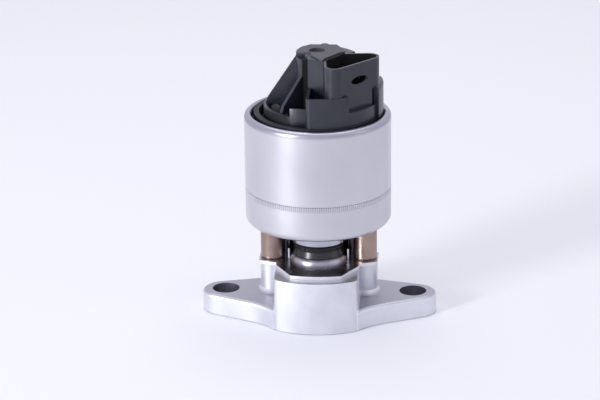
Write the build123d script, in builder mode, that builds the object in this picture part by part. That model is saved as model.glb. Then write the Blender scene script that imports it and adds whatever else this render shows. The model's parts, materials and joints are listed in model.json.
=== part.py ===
"""Solenoid-driven exhaust gas recirculation valve with a position sensor in its cap.

Millimetres, +Z up. The origin is on the valve axis at the gasket face. X runs through the two
mounting holes and -Y is the side of the outlet port. The valve is drawn closed.
"""
import os
from math import cos, pi, radians, sin, tan

from build123d import *

os.makedirs("parts", exist_ok=True)

# ---- Fits and clearances
slip = 0.1  # radial gap of a piece that is slid into another
running = 0.04  # radial gap of the stem in its bush
air = 0.3  # gap between a moving piece and what it passes
press = 0.01  # gap left on a pressed or screwed joint

# ---- Valve action
lift = 4.0  # travel of the pintle from closed to fully open
stem_radius = 2.0
seat_lip = 0.15  # axial gap between the closed pintle and its seat

# ---- Base casting
hole_x = 32.0  # mounting holes lie at plus and minus this
hole_radius = 4.6
ear_offset = 0.8  # ear centre outside the hole centre
ear_radius = 7.1
ear_front_angle = 64.0  # where the front edge leaves the ear arc
ear_back_angle = 75.0
flange_thickness = 7.0
flange_edge = 1.2
wing_straight = 15.5  # straight run of the front edge before it curves into the block
wing_back_x = 12.0  # the bowed back edge starts here
block_half_width = 14.3
block_front = 23.7
block_corner_depth = 19.6  # where the sides meet the bowed front
block_corner_radius = 3.0
block_back = 11.0
block_side_back = 2.0
block_draft = 1.0
deck_z = 17.9  # machined top of the casting
post_radius = 4.2
post_foot = 1.4
screw_x = 15.8  # frame screws, posts and standoffs

# ---- Gas passage
inlet_radius = 7.5
seat_radius = 7.0  # bore for the seat ring, above the inlet
seat_bottom_z = 4.6
seat_top_z = 9.0
seat_bore_radius = 4.6
seat_chamfer = 1.4
chamber_radius = 6.9
chamber_roof_z = 14.0
outlet_radius = 5.2
outlet_y = -14.8

# ---- Pintle
head_radius = 5.7
head_rim_z = 9.6
head_fillet = 0.5
metering_radius = 3.5
tip_radius = 2.6
tip_z = 4.9
stem_top_z = 55.5

# ---- Stem bush, cup and seal on the deck
cup_seat_depth = 1.2
cup_flange_radius = 10.4
cup_radius = 8.2
cup_wall = 1.0
cup_top_z = 21.3
cup_edge = 0.5
bush_shank_radius = 4.6
bush_bottom_z = 14.4
seal_inset = 0.4  # seal inside the collar's edge
seal_top_z = 25.2
seal_waist = 0.6

# ---- Retainer plate
plate_thickness = 1.2
plate_front = 19.4
plate_front_half = 8.6
plate_front_corner = 18.4
plate_step_x = 14.1  # the front edge steps out beside the ears
plate_step_y = 8.7
plate_notch_y = 6.6
ear_end_x = 20.2
ear_end_half = 4.6
ear_end_corner = 1.2
plate_back = 11.6
plate_back_half = 5.5
shield_gap = 0.6  # between the collar and the lugs and heat shield curved round it
lug_thickness = 0.6
lug_half_angle = 14.0
lug_height = 3.6
shield_top_gap = 1.3  # left between the shield and the can
shield_end_angle = 6.0  # from the X axis to either end of the shield

# ---- Standoffs and frame screws
standoff_radius = 4.0
standoff_height = 13.9
standoff_edge = 0.4
screw_radius = 2.0
screw_hole_radius = 2.2
screw_head_radius = 3.4
screw_head_height = 3.8
screw_head_recess = 4.4
screw_socket = 1.5
screw_socket_depth = 2.0

# ---- Can
can_radius = 24.6
cup_floor = 1.3
can_wall = 0.85
can_bottom_edge = 2.2
seam_height = 12.4  # seam above the can's bottom face
seam_lap = 3.0
seam_groove = 0.1
can_height = 38.2
rim_thickness = 1.3
rim_width = 2.2  # from the can's side to the edge of the rolled rim
rim_shoulder = 1.6
rim_lip = 0.4

# ---- Magnetic circuit
collar_radius = 9.4
collar_edge = 0.7
pole_gap = 0.3  # round the pole plates, inside the cup's wall
lower_pole_thickness = 4.0
upper_pole_thickness = 4.0
armature_radius = 7.0
armature_length = 12.0
armature_rest_gap = 4.2  # armature above the lower pole plate when closed
sleeve_wall = 0.6
pole_nose_gap = 0.6  # left between armature and upper pole at full lift
bobbin_wall = 1.2
bobbin_flange = 1.5
bobbin_side_gap = 2.3  # between the bobbin's flanges and the cup's wall
winding_inset = 1.0
winding_gap = 0.15
wave_washer_width = 6.0
wave_washer_inset = 2.1  # inside the edge of the bobbin's flange
wave_washer_thickness = 0.4

# ---- Springs
coil_runs = 14  # straight runs in one turn of a spring
wire_sides = 6
spring_radius = 3.9
spring_wire = 0.45
spring_turns = 5
spring_pocket = 4.5  # depth of the pocket in the armature
spring_seat = 2.0  # depth of the pocket in the upper pole

# ---- Sensor cap moulding, radii counted inwards from the rolled rim's edge
cap_fit = 0.35  # between the cap flange and the can's wall
cap_flange_height = 4.6
cap_flange_lip = 0.1  # width of the flange's top that is left under the rolled rim's edge
cap_gutter_depth = 1.4
cap_ring_inset = 1.0
cap_ring_width = 1.8
cap_ring_rise = 1.7
cap_groove_depth = 1.9
cap_rim_inset = 4.4
cap_rim_width = 1.3
cap_rim_height = 4.1  # above the flange
cap_floor_height = 2.3
seal_groove_depth = 1.4
seal_groove_rise = 1.6  # middle of the groove above the flange's foot
seal_groove_margin = 0.1
oring_wire = 0.84
seal_sides = 8
barrel_radius = 7.0
barrel_bore = 4.7
flute_x = 3.6
flute_width = 1.9
flute_bottom = 5.2
head_height = 21.8  # top of the barrel's head, level with the socket's rim
head_thickness = 1.2
ledge_height = 11.8
skirt_inset = 1.3
skirt_left = 2.6
skirt_wall = 1.0
skirt_corner = 1.6
skirt_step_height = 6.3
ledge_end_angle = -57.0
skirt_end_angle = 8.0
slot_angle = -21.5  # clearance slot between socket and right post
slot_width = 1.1
slot_depth = 1.3
post_inset = 0.35
post_wall = 3.4
post_height = 12.3
post_start_angle = -19.5
post_end_angle = 12.0
post_edge = 1.2
panel_left = 2.6
panel_left_y = 8.1
panel_right = 2.8
panel_right_y = 11.6
baffle_reach = 8.1
baffle_y = 16.2
baffle_root_y = 16.8
baffle_thickness = 1.0
baffle_height = 7.0
rib_thickness = 1.3
rib_angles = (180.0, 225.0, 135.0, 90.0, 45.0)
low_rib_angle = 225.0  # this rib starts lower on the barrel and ends further in
low_rib_drop = 5.3
low_rib_inset = 1.9
rib_shoulder_step = 0.85
rib_shoulder_rise = 2.2  # above the raised rim
rib_arch_radius = 1.5
rib_arch_reach = 14.0

# ---- Connector socket: four corner circles whose hull is the opening
socket_near = (6.7, -16.35, 2.5)
socket_right = (17.35, -4.15, 2.65)
socket_far = (10.5, -4.8, 2.8)
socket_left = (4.8, -10.4, 1.2)
socket_wall = 0.8
socket_angle = 50.0  # direction of the near wall
socket_reach = 13.8  # from the valve axis to the row of blades
socket_depth = 12.5
lock_width = 7.4
lock_drop = 4.4  # flat top of the lock window below the rim
lock_height = 2.8
blade_count = 5
blade_pitch = 3.2
blade_width = 1.5
blade_thickness = 0.64
blade_height = 7.0

# ---- Lid
lid_thickness = 0.6
lid_gap = 0.12
lid_dimple_radius = 2.7
lid_dimple_depth = 1.1
lid_plug_height = 1.8
lid_left = 6.8
lid_tab_front = 2.4
lid_shoulder = 5.4
lid_shoulder_y = 4.0
lid_back_left = 2.6
lid_back = 6.7
lid_right_back = 6.2
lid_right = 8.6
lid_right_y = 1.6
lid_front_left = 1.9
lid_front_y = 4.7
lid_tip_x = 2.3
lid_tip_y = 11.4
wing_back_right = 9.8
wing_back_y = 3.9
wing_end_x = 12.6
wing_end_y = 0.8
nub_radius = 1.3
nub_x = 2.2

# ---- Position sensor
rod_radius = 1.3
rod_gap = 0.05  # between the stem's top and the rod that follows it
follower_head_radius = 3.4
follower_head_height = 3.0
follower_head_rise = 3.0  # head above the cap floor when closed
sensor_spring_radius = 2.2
sensor_spring_wire = 0.3
sensor_spring_turns = 5
track_thickness = 0.6
track_width = 3.4
track_height = 12.0
wiper_thickness = 0.25
wiper_width = 2.4

# ---- Heights that follow from the sizes above
plate_top_z = deck_z + plate_thickness
can_z = plate_top_z + standoff_height
lower_pole_z = can_z + cup_floor
coil_z = lower_pole_z + lower_pole_thickness
armature_z = coil_z + armature_rest_gap
armature_top_z = armature_z + armature_length
nose_z = armature_top_z + lift + pole_nose_gap
can_top_z = can_z + can_height
cap_top_z = can_top_z - rim_thickness  # top of the cap flange, under the rolled rim
cap_z = cap_top_z - cap_flange_height
upper_pole_z = cap_z - upper_pole_thickness
bobbin_top_z = upper_pole_z - wave_washer_thickness
floor_z = cap_top_z + cap_floor_height
head_top_z = cap_top_z + head_height
head_bottom_z = head_top_z - head_thickness
lid_top_z = head_top_z + lid_thickness
ledge_z = cap_top_z + ledge_height
step_z = cap_top_z + skirt_step_height
socket_floor_z = head_top_z - socket_depth
seam_z = can_z + seam_height
seal_radius = collar_radius - seal_inset
lug_radius = collar_radius + shield_gap
sleeve_radius = armature_radius + air
can_inner_radius = can_radius - can_wall
cup_inner_radius = can_inner_radius - can_wall
pole_radius = cup_inner_radius - pole_gap
bobbin_flange_radius = cup_inner_radius - bobbin_side_gap
winding_radius = bobbin_flange_radius - winding_inset
rim_opening_radius = can_radius - rim_width
cap_flange_radius = can_inner_radius - cap_fit
seal_groove_radius = cap_flange_radius - seal_groove_depth
seal_ring_z = cap_z + seal_groove_rise
cap_rim_radius = rim_opening_radius - cap_rim_inset
skirt_radius = rim_opening_radius - skirt_inset
post_outer_radius = rim_opening_radius - post_inset

# ---- Directions of the connector
across = (cos(radians(socket_angle - 90)), sin(radians(socket_angle - 90)))
along = (cos(radians(socket_angle)), sin(radians(socket_angle)))
socket_centre = (across[0] * socket_reach, across[1] * socket_reach)
near_wall_reach = across[0] * socket_near[0] + across[1] * socket_near[1] + socket_near[2] + socket_wall


def radial_plane(angle):
    """Upright plane through the valve axis: local x points outwards and local y points up."""
    outward = (cos(radians(angle)), sin(radians(angle)), 0)
    sideways = (sin(radians(angle)), -cos(radians(angle)), 0)
    return Plane(origin=(0, 0, 0), x_dir=outward, z_dir=sideways)


def sector(start, end, reach):
    """Corners of a wedge from the valve axis that contains a circle's arc from start to end."""
    middle = (start + end) / 2
    corners = [(0, 0)]
    for angle in (start, middle, end):
        corners.append((reach * cos(radians(angle)), reach * sin(radians(angle))))
    return corners


def coil_points(radius, foot_z, head_z, turns):
    """Corners of a spring's centre line, in straight runs round the valve axis."""
    steps = turns * coil_runs
    points = []
    for step in range(steps + 1):
        turn = 2 * pi * step / coil_runs
        points.append((radius * cos(turn), radius * sin(turn), foot_z + (head_z - foot_z) * step / steps))
    return points


def socket_outline(margin):
    """Hull of the socket's corner circles, each grown by a margin."""
    with BuildSketch() as outline:
        for x, y, radius in (socket_near, socket_right, socket_far, socket_left):
            with Locations((x, y)):
                Circle(radius + margin)
        make_hull()
    return outline.sketch


# ==== Base casting: two-eared flange, block over both ports, two posts
ear_x = hole_x + ear_offset
front_turn = radians(-ear_front_angle)
back_turn = radians(ear_back_angle)
ear_front = (ear_x + ear_radius * cos(front_turn), ear_radius * sin(front_turn))
ear_back = (ear_x + ear_radius * cos(back_turn), ear_radius * sin(back_turn))
front_run = (sin(front_turn), -cos(front_turn))
back_run = (-sin(back_turn), cos(back_turn))
wing_bend = (ear_front[0] + wing_straight * front_run[0], ear_front[1] + wing_straight * front_run[1])
back_length = (ear_back[0] - wing_back_x) / sin(back_turn)
back_turn_half = (pi / 2 - back_turn) / 2
back_start = (wing_back_x, ear_back[1] + back_length * back_run[1])

with BuildPart() as base_casting:
    with BuildSketch():
        with BuildLine():
            Line(wing_bend, ear_front)
            TangentArc(wing_bend, (block_half_width, -block_corner_depth), tangent=front_run)
            ThreePointArc(ear_front, (ear_x + ear_radius, 0), ear_back)
            Line(ear_back, back_start)
            TangentArc(back_start, (0, back_start[1] + wing_back_x * tan(back_turn_half)), tangent=back_run)
            mirror(about=Plane.YZ)
            Line((-block_half_width, -block_corner_depth), (block_half_width, -block_corner_depth))
        make_face()
    extrude(amount=flange_thickness)
    rim_edges = base_casting.edges().group_by(Axis.Z)[-1].sort_by(Axis.Y)[1:]
    fillet(rim_edges, flange_edge)

    with BuildSketch() as block_plan:
        with BuildLine():
            Line((-block_half_width, block_side_back), (-block_half_width, -block_corner_depth))
            ThreePointArc(
                (-block_half_width, -block_corner_depth),
                (0, -block_front),
                (block_half_width, -block_corner_depth),
            )
            Line((block_half_width, -block_corner_depth), (block_half_width, block_side_back))
            ThreePointArc(
                (block_half_width, block_side_back), (0, block_back), (-block_half_width, block_side_back)
            )
        make_face()
        fillet(block_plan.vertices().group_by(Axis.Y)[0], block_corner_radius)
    extrude(amount=deck_z, taper=block_draft)

    with BuildSketch():
        with Locations((screw_x, 0), (-screw_x, 0)):
            Circle(post_radius)
    extrude(amount=deck_z)
    with BuildSketch(Plane.XY.offset(flange_thickness)):
        with Locations((screw_x, 0), (-screw_x, 0)):
            Circle(post_radius + post_foot)
    extrude(amount=post_foot, taper=45)

    with BuildSketch():
        with Locations((hole_x, 0), (-hole_x, 0)):
            Circle(hole_radius)
    extrude(amount=flange_thickness, mode=Mode.SUBTRACT)
    with BuildSketch():
        with Locations((screw_x, 0), (-screw_x, 0)):
            Circle(screw_hole_radius)
    extrude(amount=deck_z, mode=Mode.SUBTRACT)
    with BuildSketch():
        with Locations((screw_x, 0), (-screw_x, 0)):
            Circle(screw_head_radius + slip)
    extrude(amount=screw_head_recess, mode=Mode.SUBTRACT)

    with BuildSketch():
        Circle(inlet_radius)
    extrude(amount=seat_bottom_z, mode=Mode.SUBTRACT)
    with BuildSketch():
        Circle(seat_radius)
    extrude(amount=seat_top_z, mode=Mode.SUBTRACT)
    with BuildSketch():
        with Locations((0, outlet_y)):
            Circle(outlet_radius)
    extrude(amount=chamber_roof_z, mode=Mode.SUBTRACT)
    with BuildSketch(Plane.XY.offset(seat_top_z)):
        Circle(chamber_radius)
        with Locations((0, outlet_y / 2)):
            Rectangle(2 * outlet_radius, -outlet_y)
    extrude(amount=chamber_roof_z - seat_top_z, mode=Mode.SUBTRACT)
    with BuildSketch(Plane.XY.offset(chamber_roof_z)):
        Circle(bush_shank_radius + slip)
    extrude(amount=deck_z - chamber_roof_z, mode=Mode.SUBTRACT)
    with BuildSketch(Plane.XY.offset(deck_z - cup_seat_depth)):
        Circle(cup_flange_radius + slip)
    extrude(amount=cup_seat_depth, mode=Mode.SUBTRACT)
base_casting.part.label = "base_casting"
export_step(base_casting.part, "parts/base_casting.step")

# ==== Valve seat ring, pressed in from the gasket face
with BuildPart() as valve_seat:
    with BuildSketch(Plane.XZ):
        Polygon(
            (seat_bore_radius, seat_bottom_z),
            (seat_radius - press, seat_bottom_z),
            (seat_radius - press, seat_top_z),
            (seat_bore_radius + seat_chamfer, seat_top_z),
            (seat_bore_radius, seat_top_z - seat_chamfer),
            align=None,
        )
    revolve(axis=Axis.Z)
valve_seat.part.label = "valve_seat"
export_step(valve_seat.part, "parts/valve_seat.step")

# ==== Pintle valve: metering tip, seating cone and stem in one turned piece
cone_base_z = seat_top_z - seat_chamfer + seat_lip
cone_foot_z = cone_base_z - (seat_bore_radius - metering_radius)
cone_rim_z = cone_base_z + (head_radius - seat_bore_radius)
with BuildPart() as pintle_valve:
    with BuildSketch(Plane.XZ):
        Polygon(
            (0, tip_z),
            (tip_radius, tip_z),
            (metering_radius, cone_foot_z),
            (head_radius, cone_rim_z),
            (head_radius, head_rim_z),
            (stem_radius + head_fillet, head_rim_z),
            (stem_radius, head_rim_z + head_fillet),
            (stem_radius, stem_top_z),
            (0, stem_top_z),
            align=None,
        )
    revolve(axis=Axis.Z)
pintle_valve.part.label = "pintle_valve"
export_step(pintle_valve.part, "parts/pintle_valve.step")

# ==== Stem bush: guides the stem and closes the chamber
bush_head_z = deck_z - cup_seat_depth
with BuildPart() as stem_bush:
    with BuildSketch(Plane.XZ):
        Polygon(
            (stem_radius + running, bush_bottom_z),
            (bush_shank_radius, bush_bottom_z),
            (bush_shank_radius, bush_head_z),
            (cup_radius - cup_wall - slip, bush_head_z),
            (cup_radius - cup_wall - slip, cup_top_z - cup_wall),
            (stem_radius + running, cup_top_z - cup_wall),
            align=None,
        )
    revolve(axis=Axis.Z)
stem_bush.part.label = "stem_bush"
export_step(stem_bush.part, "parts/stem_bush.step")

# ==== Bearing cup: polished pressing whose flange is clamped under the plate
with BuildPart() as bearing_cup:
    with BuildSketch(Plane.XZ):
        Polygon(
            (stem_radius + air, cup_top_z - cup_wall),
            (cup_radius - cup_wall, cup_top_z - cup_wall),
            (cup_radius - cup_wall, bush_head_z),
            (cup_flange_radius, bush_head_z),
            (cup_flange_radius, deck_z),
            (cup_radius, deck_z),
            (cup_radius, cup_top_z),
            (stem_radius + air, cup_top_z),
            align=None,
        )
    revolve(axis=Axis.Z)
    chamfer(bearing_cup.edges().group_by(Axis.Z)[-1].sort_by(SortBy.RADIUS)[-1], cup_edge)
bearing_cup.part.label = "bearing_cup"
export_step(bearing_cup.part, "parts/bearing_cup.step")

# ==== Stem seal: waisted black ring between cup and collar
seal_mid_z = (cup_top_z + seal_top_z) / 2
with BuildPart() as stem_seal:
    with BuildSketch(Plane.XZ):
        Polygon(
            (stem_radius + air, cup_top_z),
            (seal_radius, cup_top_z),
            (seal_radius - seal_waist, seal_mid_z),
            (seal_radius, seal_top_z),
            (stem_radius + air, seal_top_z),
            align=None,
        )
    revolve(axis=Axis.Z)
stem_seal.part.label = "stem_seal"
export_step(stem_seal.part, "parts/stem_seal.step")

# ==== Retainer plate: stamped, with two ears under the standoffs, two bent lugs and a heat shield
with BuildPart() as retainer_plate:
    with BuildSketch(Plane.XY.offset(deck_z)) as plate_plan:
        with BuildLine():
            ThreePointArc(
                (-plate_front_half, -plate_front_corner),
                (0, -plate_front),
                (plate_front_half, -plate_front_corner),
            )
            Polyline(
                (plate_front_half, -plate_front_corner),
                (plate_step_x, -plate_step_y),
                (plate_step_x, -plate_notch_y),
                (ear_end_x, -ear_end_half),
                (ear_end_x, ear_end_half),
                (plate_back_half, plate_back),
                (-plate_back_half, plate_back),
                (-ear_end_x, ear_end_half),
                (-ear_end_x, -ear_end_half),
                (-plate_step_x, -plate_notch_y),
                (-plate_step_x, -plate_step_y),
                (-plate_front_half, -plate_front_corner),
            )
        make_face()
        ear_corners = plate_plan.vertices().group_by(Axis.X)
        fillet(ear_corners[0] + ear_corners[-1], ear_end_corner)
        with Locations((screw_x, 0), (-screw_x, 0)):
            Circle(screw_hole_radius, mode=Mode.SUBTRACT)
        Circle(cup_radius + slip, mode=Mode.SUBTRACT)
    extrude(amount=plate_thickness)
    for middle in (0, 180):
        with BuildSketch(Plane.XY.offset(deck_z)):
            Circle(lug_radius + lug_thickness)
            Circle(lug_radius, mode=Mode.SUBTRACT)
            Polygon(
                *sector(middle - lug_half_angle, middle + lug_half_angle, 2 * lug_radius),
                align=None,
                mode=Mode.INTERSECT,
            )
        extrude(amount=plate_thickness + lug_height)
    with BuildSketch(Plane.XY.offset(deck_z)):
        Circle(lug_radius + lug_thickness)
        Circle(lug_radius, mode=Mode.SUBTRACT)
        Polygon(
            *sector(shield_end_angle, 180 - shield_end_angle, 2 * lug_radius),
            align=None,
            mode=Mode.INTERSECT,
        )
    extrude(amount=plate_thickness + standoff_height - shield_top_gap)
retainer_plate.part.label = "retainer_plate"
export_step(retainer_plate.part, "parts/retainer_plate.step")

# ==== Standoffs: one bronze-coloured tube on each post
for side, name in ((-1, "standoff_left"), (1, "standoff_right")):
    with BuildPart() as standoff:
        with BuildSketch(Plane.XY.offset(plate_top_z)):
            with Locations((side * screw_x, 0)):
                Circle(standoff_radius)
                Circle(screw_hole_radius, mode=Mode.SUBTRACT)
        extrude(amount=standoff_height)
        outer_edges = standoff.edges().filter_by(GeomType.CIRCLE).sort_by(SortBy.RADIUS)[-2:]
        chamfer(outer_edges, standoff_edge)
    standoff.part.label = name
    export_step(standoff.part, f"parts/{name}.step")

# ==== Frame screws: socket heads in the gasket face, threaded into the lower pole
screw_head_z = screw_head_recess - screw_head_height
with BuildPart() as frame_screws:
    with BuildSketch(Plane.XY.offset(screw_head_z)):
        with Locations((screw_x, 0), (-screw_x, 0)):
            Circle(screw_head_radius)
    extrude(amount=screw_head_height)
    with BuildSketch(Plane.XY.offset(screw_head_recess)):
        with Locations((screw_x, 0), (-screw_x, 0)):
            Circle(screw_radius)
    extrude(amount=coil_z - air - screw_head_recess)
    with BuildSketch(Plane.XY.offset(screw_head_z)):
        with Locations((screw_x, 0), (-screw_x, 0)):
            RegularPolygon(screw_socket, 6)
    extrude(amount=screw_socket_depth, mode=Mode.SUBTRACT)
frame_screws.part.label = "frame_screws"
export_step(frame_screws.part, "parts/frame_screws.step")

# ==== Can: lower cup and rolled upper shell, lapped at the seam
with BuildPart() as can_cup:
    with BuildSketch(Plane.XZ):
        Polygon(
            (collar_radius + slip, can_z),
            (can_radius, can_z),
            (can_radius, seam_z - seam_groove),
            (can_inner_radius - slip, seam_z - seam_groove),
            (can_inner_radius - slip, seam_z + seam_lap),
            (cup_inner_radius, seam_z + seam_lap),
            (cup_inner_radius, lower_pole_z),
            (collar_radius + slip, lower_pole_z),
            align=None,
        )
    revolve(axis=Axis.Z)
    fillet(can_cup.edges().group_by(Axis.Z)[0].sort_by(SortBy.RADIUS)[-1], can_bottom_edge)
    with BuildSketch(Plane.XY.offset(can_z)):
        with Locations((screw_x, 0), (-screw_x, 0)):
            Circle(screw_hole_radius)
    extrude(amount=cup_floor, mode=Mode.SUBTRACT)
can_cup.part.label = "can_cup"
export_step(can_cup.part, "parts/can_cup.step")

with BuildPart() as can_shell:
    with BuildSketch(Plane.XZ):
        Polygon(
            (can_inner_radius, seam_z),
            (can_radius, seam_z),
            (can_radius, can_top_z),
            (rim_opening_radius, can_top_z),
            (rim_opening_radius, cap_top_z),
            (can_inner_radius, cap_top_z),
            align=None,
        )
    revolve(axis=Axis.Z)
    fillet(can_shell.edges().group_by(Axis.Z)[-1].sort_by(SortBy.RADIUS)[-1], rim_shoulder)
    chamfer(can_shell.edges().group_by(Axis.Z)[-1].sort_by(SortBy.RADIUS)[0], rim_lip)
can_shell.part.label = "can_shell"
export_step(can_shell.part, "parts/can_shell.step")

# ==== Lower pole: plate in the can's floor with the bright collar below it
with BuildPart() as lower_pole:
    with BuildSketch(Plane.XZ):
        Polygon(
            (stem_radius + air, seal_top_z),
            (collar_radius, seal_top_z),
            (collar_radius, lower_pole_z),
            (pole_radius, lower_pole_z),
            (pole_radius, coil_z),
            (stem_radius + air, coil_z),
            align=None,
        )
    revolve(axis=Axis.Z)
    chamfer(lower_pole.edges().group_by(Axis.Z)[0].sort_by(SortBy.RADIUS)[-1], collar_edge)
    with BuildSketch(Plane.XY.offset(lower_pole_z)):
        with Locations((screw_x, 0), (-screw_x, 0)):
            Circle(screw_radius + press)
    extrude(amount=lower_pole_thickness, mode=Mode.SUBTRACT)
lower_pole.part.label = "lower_pole"
export_step(lower_pole.part, "parts/lower_pole.step")

# ==== Upper pole: plate whose nose faces the armature
with BuildPart() as upper_pole:
    with BuildSketch(Plane.XZ):
        Polygon(
            (rod_radius + air, nose_z),
            (armature_radius, nose_z),
            (armature_radius, upper_pole_z),
            (pole_radius, upper_pole_z),
            (pole_radius, cap_z),
            (rod_radius + air, cap_z),
            align=None,
        )
    revolve(axis=Axis.Z)
    with BuildSketch(Plane.XY.offset(nose_z)):
        Circle(spring_radius + spring_wire + air)
    extrude(amount=spring_seat, mode=Mode.SUBTRACT)
upper_pole.part.label = "upper_pole"
export_step(upper_pole.part, "parts/upper_pole.step")

# ==== Armature: plunger pressed on the stem, with a pocket for the return spring
with BuildPart() as armature:
    with BuildSketch(Plane.XY.offset(armature_z)):
        Circle(armature_radius)
        Circle(stem_radius + press, mode=Mode.SUBTRACT)
    extrude(amount=armature_length)
    with BuildSketch(Plane.XY.offset(armature_top_z)):
        Circle(spring_radius + spring_wire + air)
    extrude(amount=-spring_pocket, mode=Mode.SUBTRACT)
armature.part.label = "armature"
export_step(armature.part, "parts/armature.step")

# ==== Armature sleeve: thin non-magnetic guide tube
with BuildPart() as armature_sleeve:
    with BuildSketch(Plane.XY.offset(coil_z)):
        Circle(sleeve_radius + sleeve_wall)
        Circle(sleeve_radius, mode=Mode.SUBTRACT)
    extrude(amount=upper_pole_z - coil_z)
armature_sleeve.part.label = "armature_sleeve"
export_step(armature_sleeve.part, "parts/armature_sleeve.step")

# ==== Coil: spool and winding
spool_radius = sleeve_radius + sleeve_wall + slip
with BuildPart() as coil_bobbin:
    with BuildSketch(Plane.XZ):
        Polygon(
            (spool_radius, coil_z),
            (bobbin_flange_radius, coil_z),
            (bobbin_flange_radius, coil_z + bobbin_flange),
            (spool_radius + bobbin_wall, coil_z + bobbin_flange),
            (spool_radius + bobbin_wall, bobbin_top_z - bobbin_flange),
            (bobbin_flange_radius, bobbin_top_z - bobbin_flange),
            (bobbin_flange_radius, bobbin_top_z),
            (spool_radius, bobbin_top_z),
            align=None,
        )
    revolve(axis=Axis.Z)
coil_bobbin.part.label = "coil_bobbin"
export_step(coil_bobbin.part, "parts/coil_bobbin.step")

with BuildPart() as coil_winding:
    with BuildSketch(Plane.XY.offset(coil_z + bobbin_flange + winding_gap)):
        Circle(winding_radius)
        Circle(spool_radius + bobbin_wall + winding_gap, mode=Mode.SUBTRACT)
    extrude(amount=bobbin_top_z - coil_z - 2 * (bobbin_flange + winding_gap))
coil_winding.part.label = "coil_winding"
export_step(coil_winding.part, "parts/coil_winding.step")

# ==== Spring washer that holds the coil down
with BuildPart() as coil_washer:
    with BuildSketch(Plane.XY.offset(bobbin_top_z)):
        Circle(bobbin_flange_radius - wave_washer_inset)
        Circle(bobbin_flange_radius - wave_washer_inset - wave_washer_width, mode=Mode.SUBTRACT)
    extrude(amount=wave_washer_thickness)
coil_washer.part.label = "coil_washer"
export_step(coil_washer.part, "parts/coil_washer.step")

# ==== Return spring between the armature pocket and the upper pole
spring_foot_z = armature_top_z - spring_pocket + spring_wire + press
spring_head_z = nose_z + spring_seat - spring_wire - press
with BuildPart() as return_spring:
    with BuildLine() as return_path:
        Polyline(*coil_points(spring_radius, spring_foot_z, spring_head_z, spring_turns))
    with BuildSketch(Plane(origin=return_path.line @ 0, z_dir=return_path.line % 0)):
        RegularPolygon(spring_wire, wire_sides)
    sweep(transition=Transition.RIGHT)
return_spring.part.label = "return_spring"
export_step(return_spring.part, "parts/return_spring.step")

# ==== Sensor cap: moulded flange, ribbed barrel, skirt and connector socket in one piece
gutter_outer = rim_opening_radius - cap_flange_lip
ring_outer = rim_opening_radius - cap_ring_inset
ring_inner = ring_outer - cap_ring_width
seal_half = oring_wire + seal_groove_margin
near_wall = Plane(
    origin=(across[0] * near_wall_reach, across[1] * near_wall_reach, head_top_z - lock_drop),
    x_dir=(*along, 0),
    z_dir=(*across, 0),
)
head_outline = (
    (-lid_left, -lid_tab_front),
    (-lid_left, 0),
    (-lid_shoulder, lid_shoulder_y),
    (-lid_back_left, lid_back),
    (lid_right_back, lid_back),
    (wing_back_right, wing_back_y),
    (wing_end_x, wing_end_y),
    (panel_right, -panel_right_y),
    (-panel_left, -panel_left_y),
    (-panel_left, -lid_tab_front),
)

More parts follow.
